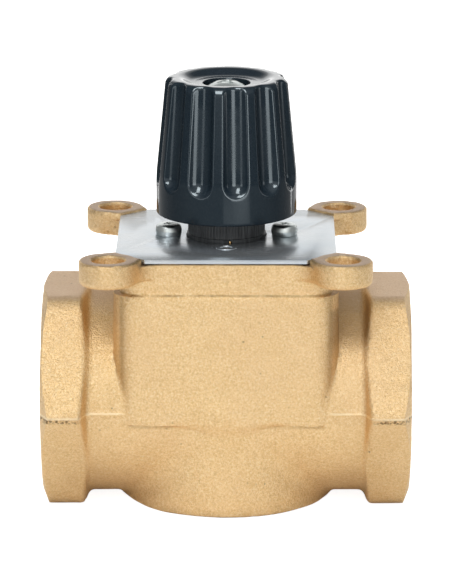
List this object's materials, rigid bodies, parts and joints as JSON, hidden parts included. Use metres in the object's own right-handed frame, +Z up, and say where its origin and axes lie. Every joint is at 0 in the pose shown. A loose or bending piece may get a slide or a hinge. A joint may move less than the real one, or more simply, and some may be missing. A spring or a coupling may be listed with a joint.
{
  "type": "rotary zone valve",
  "caption": "Three-way rotary valve in cast brass with female pipe ports, a zinc-plated cover plate and a fluted black hand knob.",
  "frame": {"origin": "on the stem axis, in the middle of the flat round bottom the valve stands on; the run axis is 35 mm above it", "axes": "+Z up the stem towards the knob, +X along the run to the right port, +Y along the third port, -Y out of the closed front panel"},
  "size_m": [0.12, 0.1069, 0.1392],
  "materials": {
    "cast_brass": "sand-cast, shot-blasted, matt gold with a fine grain",
    "turned_brass": "machined, semi-bright",
    "zinc_plate": "zinc-plated sheet steel, blue passivated, semi-gloss",
    "zinc_screw": "zinc-plated steel, bright",
    "spring_steel": "phosphated spring steel",
    "stainless_pin": "ground stainless steel",
    "black_knob": "glossy moulded black plastic",
    "black_sleeve": "moulded black plastic with fine upright ribs",
    "seal_rubber": "EPDM, matt black",
    "ptfe": "PTFE, off-white"
  },
  "bodies": {
    "valve": {"valve_body": "cast_brass", "bonnet": "turned_brass", "bonnet_o_ring": "seal_rubber", "bonnet_snap_ring": "spring_steel", "cover_plate": "zinc_plate", "plate_screw_left": "zinc_screw", "plate_screw_right": "zinc_screw", "stop_pin": "turned_brass", "bottom_bush": "ptfe", "upper_bush": "ptfe"},
    "rotor": {"spindle": "turned_brass", "sector": "turned_brass", "sector_pin": "stainless_pin", "stem_o_ring_lower": "seal_rubber", "stem_o_ring_upper": "seal_rubber", "thrust_washer": "ptfe", "knob_sleeve": "black_sleeve", "knob": "black_knob", "knob_screw": "zinc_screw", "knob_washer": "zinc_screw"}
  },
  "joints": [
    {"name": "stem_turn", "type": "hinge", "parent": "valve", "child": "rotor", "pos_m": [0, 0, 0], "axis": [0, 0, 1], "range_deg": [-45, 45]}
  ]
}
